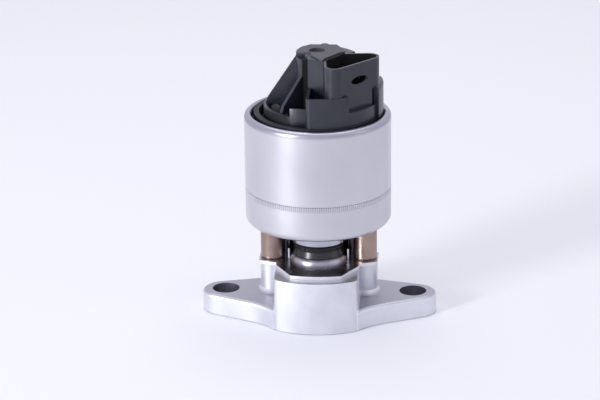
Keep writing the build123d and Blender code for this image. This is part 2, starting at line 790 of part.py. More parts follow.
with BuildPart() as sensor_cap:
    with BuildSketch(Plane.XZ):
        Polygon(
            (0, cap_z),
            (cap_flange_radius, cap_z),
            (cap_flange_radius, seal_ring_z - seal_half),
            (seal_groove_radius, seal_ring_z - seal_half),
            (seal_groove_radius, seal_ring_z + seal_half),
            (cap_flange_radius, seal_ring_z + seal_half),
            (cap_flange_radius, cap_top_z),
            (gutter_outer, cap_top_z),
            (gutter_outer, cap_top_z - cap_gutter_depth),
            (ring_outer, cap_top_z - cap_gutter_depth),
            (ring_outer, cap_top_z + cap_ring_rise),
            (ring_inner, cap_top_z + cap_ring_rise),
            (ring_inner, cap_top_z - cap_groove_depth),
            (cap_rim_radius, cap_top_z - cap_groove_depth),
            (cap_rim_radius, cap_top_z + cap_rim_height),
            (cap_rim_radius - cap_rim_width, cap_top_z + cap_rim_height),
            (cap_rim_radius - cap_rim_width, floor_z),
            (0, floor_z),
            align=None,
        )
    revolve(axis=Axis.Z)

    with BuildSketch(Plane.XY.offset(cap_top_z - cap_gutter_depth)) as skirt_plan:
        Circle(skirt_radius)
        Polygon(*sector(-110, ledge_end_angle, 2 * skirt_radius), align=None, mode=Mode.INTERSECT)
        with Locations((-skirt_left - skirt_radius, 0)):
            Rectangle(2 * skirt_radius, 4 * skirt_radius, mode=Mode.SUBTRACT)
        fillet(skirt_plan.vertices().group_by(Axis.Y)[0], skirt_corner)
    extrude(amount=cap_gutter_depth + ledge_height)
    with BuildSketch(Plane.XY.offset(cap_top_z - cap_gutter_depth)):
        Circle(skirt_radius)
        Polygon(
            *sector(ledge_end_angle - slip, skirt_end_angle, 2 * skirt_radius),
            align=None,
            mode=Mode.INTERSECT,
        )
    extrude(amount=cap_gutter_depth + skirt_step_height)
    with BuildSketch(Plane.XY.offset(floor_z)):
        Circle(skirt_radius - skirt_wall)
        Polygon(*sector(-110, ledge_end_angle, 2 * skirt_radius), align=None, mode=Mode.INTERSECT)
        with Locations((skirt_wall - skirt_left - skirt_radius, 0)):
            Rectangle(2 * skirt_radius, 4 * skirt_radius, mode=Mode.SUBTRACT)
    extrude(amount=ledge_z - floor_z, mode=Mode.SUBTRACT)

    with BuildSketch(Plane.XY.offset(cap_top_z - cap_gutter_depth)):
        Circle(post_outer_radius)
        Circle(post_outer_radius - post_wall, mode=Mode.SUBTRACT)
        Polygon(*sector(post_start_angle, post_end_angle, 2 * skirt_radius), align=None, mode=Mode.INTERSECT)
    extrude(amount=cap_gutter_depth + post_height)
    post_rim = sensor_cap.edges().group_by(Axis.Z)[-1].filter_by(GeomType.CIRCLE).sort_by(SortBy.RADIUS)[-1]
    fillet(post_rim, min(post_edge, 0.4 * post_wall))

    for angle in rib_angles:
        low = angle == low_rib_angle
        rib_foot = cap_rim_radius - (low_rib_inset if low else cap_rim_width / 2)
        rib_top_z = head_bottom_z - (low_rib_drop if low else 0)
        with BuildSketch(radial_plane(angle)):
            Polygon(
                (0, cap_top_z),
                (rib_foot, cap_top_z),
                (rib_foot, cap_top_z + cap_rim_height),
                (rib_foot - rib_shoulder_step, cap_top_z + cap_rim_height + rib_shoulder_rise),
                (barrel_radius, rib_top_z),
                (0, rib_top_z),
                align=None,
            )
            with Locations((rib_arch_reach, floor_z)):
                Circle(rib_arch_radius, mode=Mode.SUBTRACT)
        extrude(amount=rib_thickness / 2, both=True)

    with BuildSketch(Plane.XY.offset(cap_top_z)):
        Circle(barrel_radius)
    extrude(amount=head_bottom_z - cap_top_z)
    with BuildSketch(Plane.XY.offset(floor_z)):
        with Locations((-flute_x, -flute_bottom - barrel_radius)):
            Rectangle(flute_width, 2 * barrel_radius)
    extrude(amount=head_bottom_z - floor_z, mode=Mode.SUBTRACT)

    with BuildSketch(Plane.XY.offset(cap_top_z)):
        Polygon(
            (-panel_left, 0),
            (-panel_left, -panel_left_y),
            (panel_right, -panel_right_y),
            socket_far[:2],
            (barrel_radius, 0),
            align=None,
        )
    extrude(amount=head_top_z - cap_top_z)
    with BuildSketch(Plane.XY.offset(head_bottom_z)):
        Polygon(*head_outline, align=None)
    extrude(amount=head_thickness)

    with BuildSketch(Plane.XY.offset(cap_top_z)):
        Polygon(
            (-baffle_reach, -baffle_y),
            (-skirt_left, -baffle_root_y),
            (-skirt_left, -baffle_root_y + baffle_thickness),
            (-baffle_reach, -baffle_y + baffle_thickness),
            align=None,
        )
    extrude(amount=baffle_height)
    with BuildSketch(Plane.XY.offset(cap_top_z)):
        Polygon(
            (-skirt_left, -panel_left_y),
            (-skirt_left, skirt_corner - skirt_radius),
            (skirt_wall - skirt_left, skirt_corner - skirt_radius),
            (skirt_wall - skirt_left, -panel_left_y),
            align=None,
        )
    extrude(amount=skirt_step_height)

    with BuildSketch(Plane.XY.offset(cap_top_z)):
        add(socket_outline(socket_wall))
    extrude(amount=head_top_z - cap_top_z)
    with BuildSketch(Plane.XY.offset(socket_floor_z)):
        add(socket_outline(0))
    extrude(amount=socket_depth, mode=Mode.SUBTRACT)
    with BuildSketch(near_wall):
        with Locations((0, -lock_height / 2)):
            Rectangle(lock_width, lock_height)
        with Locations((0, -lock_height / 2)):
            Ellipse(lock_width / 2, lock_height / 2, mode=Mode.INTERSECT)
    extrude(amount=-3 * socket_wall, mode=Mode.SUBTRACT)
    with BuildSketch(radial_plane(slot_angle)):
        with Locations((skirt_radius, (step_z + ledge_z) / 2)):
            Rectangle(2 * slot_depth, ledge_z - step_z)
    extrude(amount=slot_width / 2, both=True, mode=Mode.SUBTRACT)

    with BuildSketch(Plane.XY.offset(cap_z)):
        Circle(barrel_bore)
    extrude(amount=head_top_z - cap_z, mode=Mode.SUBTRACT)
sensor_cap.part.label = "sensor_cap"
export_step(sensor_cap.part, "parts/sensor_cap.step")

# ==== Cap seal: O-ring in the groove round the cap flange, drawn as a ring of eight flats
with BuildPart() as cap_seal:
    with BuildSketch(Plane.XZ):
        with Locations((can_inner_radius - oring_wire - press, seal_ring_z)):
            RegularPolygon(oring_wire, seal_sides)
    revolve(axis=Axis.Z)
cap_seal.part.label = "cap_seal"
export_step(cap_seal.part, "parts/cap_seal.step")

# ==== Connector blades: a row of flat pins moulded into the socket floor
with BuildPart() as connector_blades:
    blade_row = Plane(origin=(*socket_centre, socket_floor_z), x_dir=(*along, 0), z_dir=(0, 0, 1))
    with BuildSketch(blade_row):
        with GridLocations(blade_pitch, 0, blade_count, 1):
            Rectangle(blade_width, blade_thickness)
    extrude(amount=blade_height)
    chamfer(connector_blades.edges().group_by(Axis.Z)[-1], 0.3 * blade_thickness)
connector_blades.part.label = "connector_blades"
export_step(connector_blades.part, "parts/connector_blades.step")

# ==== Lid over the sensor, fitted round the connector socket
with BuildPart() as sensor_lid:
    with BuildSketch(Plane.XY.offset(head_top_z)):
        Polygon(
            (-lid_left, -lid_tab_front),
            (-lid_left, 0),
            (-lid_shoulder, lid_shoulder_y),
            (-lid_back_left, lid_back),
            (lid_right_back, lid_back),
            (lid_right, lid_right_y),
            socket_far[:2],
            (lid_tip_x, -lid_tip_y),
            (-lid_front_left, -lid_front_y),
            (-lid_front_left, -lid_tab_front),
            align=None,
        )
        with Locations((nub_x, lid_back)):
            Circle(nub_radius)
        add(socket_outline(socket_wall + lid_gap), mode=Mode.SUBTRACT)
    extrude(amount=lid_thickness)
    with BuildSketch(Plane.XY.offset(head_top_z)):
        Circle(barrel_bore - slip)
    extrude(amount=-lid_plug_height)
    with BuildSketch(Plane.XY.offset(lid_top_z)):
        Circle(lid_dimple_radius)
    extrude(amount=-lid_dimple_depth, mode=Mode.SUBTRACT)
sensor_lid.part.label = "sensor_lid"
export_step(sensor_lid.part, "parts/sensor_lid.step")

# ==== Sensor follower: rod that rests on the stem, with the wiper's carrier
follower_head_z = floor_z + follower_head_rise
follower_head_top_z = follower_head_z + follower_head_height
with BuildPart() as sensor_follower:
    with BuildSketch(Plane.XY.offset(stem_top_z + rod_gap)):
        Circle(rod_radius)
    extrude(amount=follower_head_z - stem_top_z - rod_gap)
    with BuildSketch(Plane.XY.offset(follower_head_z)):
        Circle(follower_head_radius)
    extrude(amount=follower_head_height)
sensor_follower.part.label = "sensor_follower"
export_step(sensor_follower.part, "parts/sensor_follower.step")

# ==== Sensor track: ceramic strip on the barrel wall
track_x = -(barrel_bore**2 - (track_width / 2) ** 2) ** 0.5 + press
with BuildPart() as sensor_track:
    with BuildSketch(Plane.XY.offset(floor_z)):
        with Locations((track_x + track_thickness / 2, 0)):
            Rectangle(track_thickness, track_width)
    extrude(amount=track_height)
sensor_track.part.label = "sensor_track"
export_step(sensor_track.part, "parts/sensor_track.step")

# ==== Wiper: bronze leaf on the follower's head that reaches towards the track
wiper_root = sensor_spring_radius + sensor_spring_wire + slip
wiper_reach = -track_x - track_thickness - slip
with BuildPart() as sensor_wiper:
    with BuildSketch(Plane.XY.offset(follower_head_top_z)):
        with Locations((-(wiper_root + wiper_reach) / 2, 0)):
            Rectangle(wiper_reach - wiper_root, wiper_width)
    extrude(amount=wiper_thickness)
sensor_wiper.part.label = "sensor_wiper"
export_step(sensor_wiper.part, "parts/sensor_wiper.step")

# ==== Sensor spring: keeps the follower on the stem
sensor_foot_z = follower_head_top_z + sensor_spring_wire + press
sensor_head_z = head_top_z - lid_plug_height - sensor_spring_wire - press
with BuildPart() as sensor_spring:
    with BuildLine() as sensor_path:
        Polyline(*coil_points(sensor_spring_radius, sensor_foot_z, sensor_head_z, sensor_spring_turns))
    with BuildSketch(Plane(origin=sensor_path.line @ 0, z_dir=sensor_path.line % 0)):
        RegularPolygon(sensor_spring_wire, wire_sides)
    sweep(transition=Transition.RIGHT)
sensor_spring.part.label = "sensor_spring"
export_step(sensor_spring.part, "parts/sensor_spring.step")
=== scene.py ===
"""Looks of the exhaust gas recirculation valve: materials, fine detail, light and camera."""
import json
import math

import bmesh
import bpy
from mathutils import Matrix, Vector
from mathutils.bvhtree import BVHTree
from mathutils.interpolate import poly_3d_calc


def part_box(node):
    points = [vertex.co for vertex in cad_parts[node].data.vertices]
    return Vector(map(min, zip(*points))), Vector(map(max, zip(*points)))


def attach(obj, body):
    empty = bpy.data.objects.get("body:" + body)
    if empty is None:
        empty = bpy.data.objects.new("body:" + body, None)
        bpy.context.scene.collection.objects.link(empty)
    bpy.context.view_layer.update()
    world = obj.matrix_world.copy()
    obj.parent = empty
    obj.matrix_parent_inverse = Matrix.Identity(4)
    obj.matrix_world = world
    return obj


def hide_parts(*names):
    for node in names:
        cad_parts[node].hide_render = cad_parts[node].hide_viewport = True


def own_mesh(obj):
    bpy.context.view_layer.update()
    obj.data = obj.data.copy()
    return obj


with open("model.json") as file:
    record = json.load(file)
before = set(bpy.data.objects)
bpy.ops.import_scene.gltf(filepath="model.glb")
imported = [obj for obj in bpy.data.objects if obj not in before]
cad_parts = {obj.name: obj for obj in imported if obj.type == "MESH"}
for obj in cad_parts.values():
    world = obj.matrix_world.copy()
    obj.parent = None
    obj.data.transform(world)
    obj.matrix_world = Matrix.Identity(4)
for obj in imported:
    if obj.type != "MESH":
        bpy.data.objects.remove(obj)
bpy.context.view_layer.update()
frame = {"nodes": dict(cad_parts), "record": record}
MM = 0.001

# ---- Camera
camera_azimuth = math.radians(3.801)
camera_elevation = math.radians(19.354)
camera_roll = math.radians(-0.56)
camera_distance = 900 * MM
camera_target = Vector((0, 0, 50 * MM))
camera_lens = 160.3
aim_right = -0.00679
aim_up = -0.01105

# ---- Floor, the sky that lights the valve, and the backdrop that camera and mirrors see
floor_size = 6.0
floor_drop = 0.2 * MM
floor_colour = (248, 249, 255)
floor_roughness = 0.7
sky_colour = (240, 240, 250)
sky_strength = 0.5
backdrop_colour = (240, 238, 252)
backdrop_strength = 1.0

# ---- Fine grain and slow mottling of every surface
grain_detail = 3.0
grain_bump = 0.05 * MM
mottle_detail = 4.0
mottle_from = 0.35  # below this much noise a surface takes its low value
mottle_to = 0.65  # above this much noise a surface takes its high value

# ---- Can: its heights, the painted shade on its rolled shoulder, and the knurled seam
can_foot_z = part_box("can_cup")[0].z
can_top_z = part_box("can_shell")[1].z
seam_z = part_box("can_shell")[0].z
roll_drop = 2.4 * MM  # from the can's top down to where the painted shade starts
roll_blend = 1.0 * MM
# Painted shade colour of the rolled shoulder
shoulder_shade_colour = (166, 166, 177)
knurl_ticks = 210
knurl_height = 2.0 * MM
knurl_drop = 0.75 * MM
knurl_steepness = 1.6
knurl_depth = 0.25 * MM
knurl_strength = 0.8
knurl_shade = 0.5
# Painted shade colour for the bottoms of the knurl ticks
knurl_shadow_colour = (150, 150, 160)

# ---- Casting: bolt holes, the flange's top beside the block (both with painted shade), nicks (x, y, z, radius in mm)
casting_edge = 0.3 * MM
hole_x = 32 * MM
hole_radius = 4.6 * MM
hole_margin = 0.05 * MM
hole_shade_colour = (128, 126, 138)
block_side = 14.35 * MM
flange_top = 7 * MM
flange_top_start = flange_top - 0.9 * MM
flange_top_rise = 0.8 * MM
flange_top_end = flange_top + 1.4 * MM
flange_top_fall = 1.2 * MM
flange_top_shade_colour = (168, 168, 177)
nicks = ((-1.6, -23.0, 15.4, 0.45), (33.9, -5.8, 6.2, 0.5), (36.4, -4.4, 5.9, 0.4))
nick_raggedness = 2500.0
nick_reach = 1.5  # distance over radius, plus noise, at which the mask ends
nick_depth = 0.3 * MM
nick_strength = 0.6
nick_tint = (96, 95, 104)

# ---- Retainer plate, and the turned-out ends of its heat shield (plan points in mm)
plate_edge = 0.1 * MM
plate_foot_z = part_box("retainer_plate")[0].z
plate_thickness = 1.2 * MM
plate_top_z = plate_foot_z + plate_thickness
cut_edge_low = plate_foot_z - 1 * MM
cut_edge_high = plate_top_z - 0.03 * MM
upright_low = plate_top_z + 0.1 * MM
upright_high = 1.0  # far above the valve
lug_front = -2.2 * MM
# Painted highlight colour for cut edges and front lugs, and painted shade colour for what stands
# behind
edge_highlight_colour = (224, 222, 226)
bright_dulling = 0.3
shield_shade_colour = (92, 88, 92)
flange_points = ((10.3, 2.2), (10.45, 1.5), (10.9, 1.25), (11.95, 1.25))
flange_wall = 0.5 * MM
flange_edge = 0.08 * MM
flange_high = can_foot_z - 1.4 * MM

# ---- Bearing cup with its dome
cup_radius = 8.2 * MM
cup_wall = 1.0 * MM
cup_bore_radius = 2.3 * MM
dome_top_radius = 7.9 * MM
dome_foot_radius = 9.9 * MM
dome_steps = 10
cup_steps = 96

# ---- Rounding and shading of the solids
bevel_segments = 2
merge_distance = 0.002 * MM
flat_angle = math.radians(0.05)
sharp_angle = math.radians(32)
smooth_angle = math.radians(34)
corner_pull = 0.05 * MM
corner_share = 0.3  # the most of an edge that the pull may take
surface_gap = 0.01 * MM
same_surface = math.cos(math.radians(10))

# ---- Sensor cap and lid: edges, latch window and the baffle's face (plan points in mm)
cap_edge = 0.22 * MM
lid_edge = 0.12 * MM
cap_top_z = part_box("sensor_cap")[1].z
socket_angle = math.radians(50)
window_reach = 19.2 * MM
window_width = 7.6 * MM
window_height = 2.6 * MM
window_depth = 2.4 * MM
window_steps = 40
window_z = cap_top_z - 5.7 * MM
baffle_points = ((-8.1, -16.95), (-2.5, -17.95), (-2.5, -17.0), (-8.1, -15.9))
baffle_low = 68.2 * MM
baffle_high = 77.2 * MM
baffle_edge = 0.12 * MM

# ---- Recesses that light hardly reaches; in plan, all in mm: socket (x, y, radius) and flute
socket_rounds = ((6.7, -16.35, 2.5), (17.35, -4.15, 2.65), (10.5, -4.8, 2.8), (4.8, -10.4, 1.2))
socket_half_wall = 0.4
socket_tries = 20
recess_top_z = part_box("sensor_lid")[1].z - 0.75 * MM
flute_left = -4.6
flute_right = -2.62
flute_front = -7.1
flute_back = -5.0
gutter_radius = 18.1
gutter_z = can_top_z - 1.6 * MM
floor_z = can_top_z + 1.2 * MM
gutter_shade = 0.7
# Painted shade in the recesses: its colour, extra roughness, and the Metallic that darkens it
# further
recess_shade_colour = (8, 8, 10)
recess_dulling = 0.4
recess_sink = 0.45


def linear(*rgb):
    """An sRGB colour of 0 to 255 as Blender's linear colour."""
    out = []
    for value in rgb:
        value = value / 255
        out.append(value / 12.92 if value <= 0.04045 else ((value + 0.055) / 1.055) ** 2.4)
    return (*out, 1.0)


# ==== Shared shader effects
def new_group(name, inputs, outputs):
    """An empty shader node group with sockets (name, kind, default)."""
    group = bpy.data.node_groups.new(name, "ShaderNodeTree")
    for label, kind, default in inputs:
        socket = group.interface.new_socket(label, in_out="INPUT", socket_type=kind)
        if default is not None:
            socket.default_value = default
    for label, kind in outputs:
        group.interface.new_socket(label, in_out="OUTPUT", socket_type=kind)
    entry = group.nodes.new("NodeGroupInput")
    leave = group.nodes.new("NodeGroupOutput")
    return group, entry, leave


def math_node(tree, operation, first, second=None, clamp=False):
    """A Math node whose inputs are sockets or numbers; gives its output socket."""
    node = tree.nodes.new("ShaderNodeMath")
    node.operation = operation
    node.use_clamp = clamp
    for place, value in enumerate((first, second)):
        if value is None:
            continue
        if isinstance(value, (int, float)):
            node.inputs[place].default_value = value
        else:
            tree.links.new(value, node.inputs[place])
    return node.outputs[0]


def blend(tree, mask, first, second):
    """Colour that goes from first to second with the mask; each is a socket or a colour."""
    node = tree.nodes.new("ShaderNodeMix")
    node.data_type = "RGBA"
    sockets = {socket.identifier: socket for socket in node.inputs}
    tree.links.new(mask, sockets["Factor_Float"])
    for label, value in (("A_Color", first), ("B_Color", second)):
        if isinstance(value, tuple):
            sockets[label].default_value = value
        else:
            tree.links.new(value, sockets[label])
    return {socket.identifier: socket for socket in node.outputs}["Result_Color"]


def place_on(tree):
    """Object coordinates, split into X, Y and Z."""
    where = tree.nodes.new("ShaderNodeTexCoord")
    split = tree.nodes.new("ShaderNodeSeparateXYZ")
    tree.links.new(where.outputs["Object"], split.inputs[0])
    return split.outputs


def make_grain_group():
    """Fine grain on a normal, and slow mottling as a mask from 0 to 1."""
    group, entry, leave = new_group(
        "surface_grain",
        [
            ("Grain Scale", "NodeSocketFloat", 900.0),
            ("Grain Depth", "NodeSocketFloat", 0.1),
            ("Mottle Scale", "NodeSocketFloat", 60.0),
        ],
        [("Normal", "NodeSocketVector"), ("Mottle", "NodeSocketFloat")],
    )
    where = group.nodes.new("ShaderNodeTexCoord")
    grain = group.nodes.new("ShaderNodeTexNoise")
    grain.inputs["Detail"].default_value = grain_detail
    group.links.new(where.outputs["Object"], grain.inputs["Vector"])
    group.links.new(entry.outputs["Grain Scale"], grain.inputs["Scale"])
    bump = group.nodes.new("ShaderNodeBump")
    bump.inputs["Distance"].default_value = grain_bump
    group.links.new(grain.outputs["Fac"], bump.inputs["Height"])
    group.links.new(entry.outputs["Grain Depth"], bump.inputs["Strength"])
    mottle = group.nodes.new("ShaderNodeTexNoise")
    mottle.inputs["Detail"].default_value = mottle_detail
    group.links.new(where.outputs["Object"], mottle.inputs["Vector"])
    group.links.new(entry.outputs["Mottle Scale"], mottle.inputs["Scale"])
    group.links.new(bump.outputs["Normal"], leave.inputs["Normal"])
    group.links.new(mottle.outputs["Fac"], leave.inputs["Mottle"])
    return group


grain_group = make_grain_group()


def make_height_group():
    """Mask that is 1 between two heights above the gasket face."""
    group, entry, leave = new_group(
        "height_mask",
        [("Low", "NodeSocketFloat", 0.0), ("High", "NodeSocketFloat", 1.0)],
        [("Mask", "NodeSocketFloat")],
    )
    height = place_on(group)["Z"]
    above = math_node(group, "GREATER_THAN", height, entry.outputs["Low"])
    below = math_node(group, "LESS_THAN", height, entry.outputs["High"])
    group.links.new(math_node(group, "MULTIPLY", above, below), leave.inputs["Mask"])
    return group


height_group = make_height_group()


def height_mask(tree, low, high):
    """Socket of a mask that is 1 from low to high."""
    node = tree.nodes.new("ShaderNodeGroup")
    node.node_tree = height_group
    node.inputs["Low"].default_value = low
    node.inputs["High"].default_value = high
    return node.outputs["Mask"]


def make_nick_group():
    """A small ragged pit at one place on a surface: gives a mask, 1 in its middle."""
    group, entry, leave = new_group(
        "nick",
        [("Centre", "NodeSocketVector", None), ("Radius", "NodeSocketFloat", 0.5 * MM)],
        [("Mask", "NodeSocketFloat")],
    )
    where = group.nodes.new("ShaderNodeTexCoord")
    ragged = group.nodes.new("ShaderNodeTexNoise")
    ragged.inputs["Scale"].default_value = nick_raggedness
    group.links.new(where.outputs["Object"], ragged.inputs["Vector"])
    reach = group.nodes.new("ShaderNodeVectorMath")
    reach.operation = "DISTANCE"
    group.links.new(where.outputs["Object"], reach.inputs[0])
    group.links.new(entry.outputs["Centre"], reach.inputs[1])
    share = math_node(group, "DIVIDE", reach.outputs["Value"], entry.outputs["Radius"])
    share = math_node(group, "ADD", share, ragged.outputs["Fac"])
    pit = math_node(group, "SUBTRACT", nick_reach, share, clamp=True)
    group.links.new(pit, leave.inputs["Mask"])
    return group


nick_group = make_nick_group()


def make_knurl_group():
    """A band of upright ticks round the can's seam: gives a mask, 1 in the bottom of a tick."""
    group, entry, leave = new_group(
        "seam_knurl",
        [
            ("Seam Height", "NodeSocketFloat", seam_z),
            ("Band Height", "NodeSocketFloat", knurl_height),
            ("Ticks", "NodeSocketFloat", float(knurl_ticks)),
        ],
        [("Mask", "NodeSocketFloat")],
    )
    place = place_on(group)
    angle = math_node(group, "ARCTAN2", place["Y"], place["X"])
    wave = math_node(group, "SINE", math_node(group, "MULTIPLY", angle, entry.outputs["Ticks"]))
    wave = math_node(group, "MULTIPLY", wave, knurl_steepness)
    tick = math_node(group, "SMOOTH_MIN", wave, 1.0)
    tick = math_node(group, "MAXIMUM", tick, 0.0)
    offset = math_node(group, "SUBTRACT", place["Z"], entry.outputs["Seam Height"])
    distance = math_node(group, "ABSOLUTE", offset)
    half_band = math_node(group, "MULTIPLY", entry.outputs["Band Height"], 0.5)
    inside = math_node(group, "LESS_THAN", distance, half_band)
    group.links.new(math_node(group, "MULTIPLY", tick, inside), leave.inputs["Mask"])
    return group


knurl_group = make_knurl_group()


# ==== Materials
def surface(name, colour, metallic, roughness):
    """A material with its Principled shader: (material, tree, shader)."""
    material = bpy.data.materials.new(name)
    material.use_nodes = True
    tree = material.node_tree
    shader = tree.nodes["Principled BSDF"]
    shader.inputs["Base Color"].default_value = colour
    shader.inputs["Metallic"].default_value = metallic
    shader.inputs["Roughness"].default_value = roughness
    return material, tree, shader


def fed_by(shader, label):
    """The socket that feeds one of the shader's inputs."""
    return shader.inputs[label].links[0].from_socket


def tint(tree, shader, mask, colour):
    """The shader's colour goes to the given sRGB colour with the mask."""
    tinted = blend(tree, mask, fed_by(shader, "Base Color"), linear(*colour))
    tree.links.new(tinted, shader.inputs["Base Color"])


def sink_in(tree, shader, mask, strength, depth):
    """A dent where the mask is 1, on top of the shader's normal."""
    dent = tree.nodes.new("ShaderNodeBump")
    dent.invert = True
    dent.inputs["Strength"].default_value = strength
    dent.inputs["Distance"].default_value = depth
    tree.links.new(mask, dent.inputs["Height"])
    tree.links.new(fed_by(shader, "Normal"), dent.inputs["Normal"])
    tree.links.new(dent.outputs["Normal"], shader.inputs["Normal"])


def dull(tree, shader, mask, amount):
    """The shader gets rougher by the amount where the mask is 1."""
    rough = math_node(tree, "MULTIPLY", mask, amount)
    rough = math_node(tree, "ADD", rough, fed_by(shader, "Roughness"))
    tree.links.new(rough, shader.inputs["Roughness"])


def add_grain(tree, shader, grain_scale, grain_depth, mottle_scale):
    """Grain on the shader's normal; gives the mottle mask's socket."""
    grain = tree.nodes.new("ShaderNodeGroup")
    grain.node_tree = grain_group
    grain.inputs["Grain Scale"].default_value = grain_scale
    grain.inputs["Grain Depth"].default_value = grain_depth
    grain.inputs["Mottle Scale"].default_value = mottle_scale
    tree.links.new(grain.outputs["Normal"], shader.inputs["Normal"])
    return grain.outputs["Mottle"]


def vary(tree, shader, mask, label, low, high):
    """The mask drives a shader socket from low to high: colours or numbers."""
    if isinstance(low, tuple):
        ramp = tree.nodes.new("ShaderNodeValToRGB")
        ramp.color_ramp.elements[0].position = mottle_from
        ramp.color_ramp.elements[0].color = low
        ramp.color_ramp.elements[1].position = mottle_to
        ramp.color_ramp.elements[1].color = high
        tree.links.new(mask, ramp.inputs[0])
        tree.links.new(ramp.outputs[0], shader.inputs[label])
        return
    spread = tree.nodes.new("ShaderNodeMapRange")
    spread.inputs["From Min"].default_value = mottle_from
    spread.inputs["From Max"].default_value = mottle_to
    spread.inputs["To Min"].default_value = low
    spread.inputs["To Max"].default_value = high
    tree.links.new(mask, spread.inputs["Value"])
    tree.links.new(spread.outputs["Result"], shader.inputs[label])


def make_bolt_hole_group():
    """Mask that is 1 on the walls of the two mounting holes."""
    group, entry, leave = new_group(
        "bolt_hole_mask",
        [
            ("Hole X", "NodeSocketFloat", hole_x),
            ("Reach", "NodeSocketFloat", hole_radius),
        ],
        [("Mask", "NodeSocketFloat")],
    )
    place = place_on(group)
    side = math_node(group, "ABSOLUTE", place["X"])
    across = math_node(group, "SUBTRACT", side, entry.outputs["Hole X"])
    across = math_node(group, "MULTIPLY", across, across)
    depth = math_node(group, "MULTIPLY", place["Y"], place["Y"])
    distance = math_node(group, "SQRT", math_node(group, "ADD", across, depth))
    inside = math_node(group, "LESS_THAN", distance, entry.outputs["Reach"])
    group.links.new(inside, leave.inputs["Mask"])
    return group


bolt_hole_group = make_bolt_hole_group()


def cast_aluminium():
    """Blasted casting with painted shade on the flange's top and in the bolt holes, and a few
    nicks.
    """
    material, tree, shader = surface("cast_aluminium", linear(216, 218, 225), 0.9, 0.42)
    mottle = add_grain(tree, shader, 1400, 0.35, 90)
    vary(tree, shader, mottle, "Base Color", linear(211, 213, 220), linear(222, 224, 231))
    vary(tree, shader, mottle, "Roughness", 0.38, 0.48)
    place = place_on(tree)
    # Painted shade on the flange's top beside the block, for the light it catches.
    side = math_node(tree, "ABSOLUTE", place["X"])
    beside = math_node(tree, "GREATER_THAN", side, block_side)
    rise = math_node(tree, "SUBTRACT", place["Z"], flange_top_start)
    rise = math_node(tree, "DIVIDE", rise, flange_top_rise, clamp=True)
    fall = math_node(tree, "SUBTRACT", flange_top_end, place["Z"])
    fall = math_node(tree, "DIVIDE", fall, flange_top_fall, clamp=True)
    top = math_node(tree, "MULTIPLY", beside, math_node(tree, "MULTIPLY", rise, fall))
    tint(tree, shader, top, flange_top_shade_colour)
    # Painted shade inside the bolt holes, where the valve stands on the table.
    hole = tree.nodes.new("ShaderNodeGroup")
    hole.node_tree = bolt_hole_group
    hole.inputs["Hole X"].default_value = hole_x
    hole.inputs["Reach"].default_value = hole_radius + hole_margin
    tint(tree, shader, hole.outputs["Mask"], hole_shade_colour)
    pits = None
    for x, y, z, radius in nicks:
        nick = tree.nodes.new("ShaderNodeGroup")
        nick.node_tree = nick_group
        nick.inputs["Centre"].default_value = (x * MM, y * MM, z * MM)
        nick.inputs["Radius"].default_value = radius * MM
        found = nick.outputs["Mask"]
        pits = found if pits is None else math_node(tree, "MAXIMUM", pits, found)
    tint(tree, shader, pits, nick_tint)
    sink_in(tree, shader, pits, nick_strength, nick_depth)
    return material


def can_steel():
    """Plated steel sheet with painted shade on the rolled shoulder, and the knurled seam."""
    material, tree, shader = surface("can_steel", linear(202, 201, 209), 0.9, 0.3)
    mottle = add_grain(tree, shader, 1100, 0.12, 45)
    vary(tree, shader, mottle, "Base Color", linear(199, 198, 206), linear(205, 204, 212))
    vary(tree, shader, mottle, "Roughness", 0.28, 0.33)
    # Painted shade: the rolled shoulder is darkened for the darker reflection it catches.
    rolled = math_node(tree, "SUBTRACT", place_on(tree)["Z"], can_top_z - roll_drop)
    rolled = math_node(tree, "DIVIDE", rolled, roll_blend, clamp=True)
    tint(tree, shader, rolled, shoulder_shade_colour)
    knurl = tree.nodes.new("ShaderNodeGroup")
    knurl.node_tree = knurl_group
    knurl.inputs["Seam Height"].default_value = seam_z - knurl_drop
    knurl.inputs["Band Height"].default_value = knurl_height
    knurl.inputs["Ticks"].default_value = knurl_ticks
    ticks = knurl.outputs["Mask"]
    sink_in(tree, shader, ticks, knurl_strength, knurl_depth)
    # Painted shade in the bottoms of the ticks, over their real dent.
    tint(tree, shader, math_node(tree, "MULTIPLY", ticks, knurl_shade), knurl_shadow_colour)
    return material


def plate_steel():
    """Polished sheet with painted highlights on its cut edges and front lugs, and painted shade
    on what stands up behind them.
    """
    material, tree, shader = surface("plate_steel", linear(186, 184, 190), 1.0, 0.26)
    mottle = add_grain(tree, shader, 700, 0.06, 110)
    vary(tree, shader, mottle, "Base Color", linear(178, 176, 182), linear(194, 192, 198))
    vary(tree, shader, mottle, "Roughness", 0.22, 0.3)
    # Painted highlight on the cut edges and on the front lugs; painted shade on what stands up
    # behind them.
    cut_edge = height_mask(tree, cut_edge_low, cut_edge_high)
    upright = height_mask(tree, upright_low, upright_high)
    front = math_node(tree, "LESS_THAN", place_on(tree)["Y"], lug_front)
    behind = math_node(tree, "MULTIPLY", upright, math_node(tree, "SUBTRACT", 1.0, front))
    bright = math_node(tree, "MAXIMUM", cut_edge, math_node(tree, "MULTIPLY", upright, front))
    tint(tree, shader, behind, shield_shade_colour)
    tint(tree, shader, bright, edge_highlight_colour)
    dull(tree, shader, bright, bright_dulling)
    return material


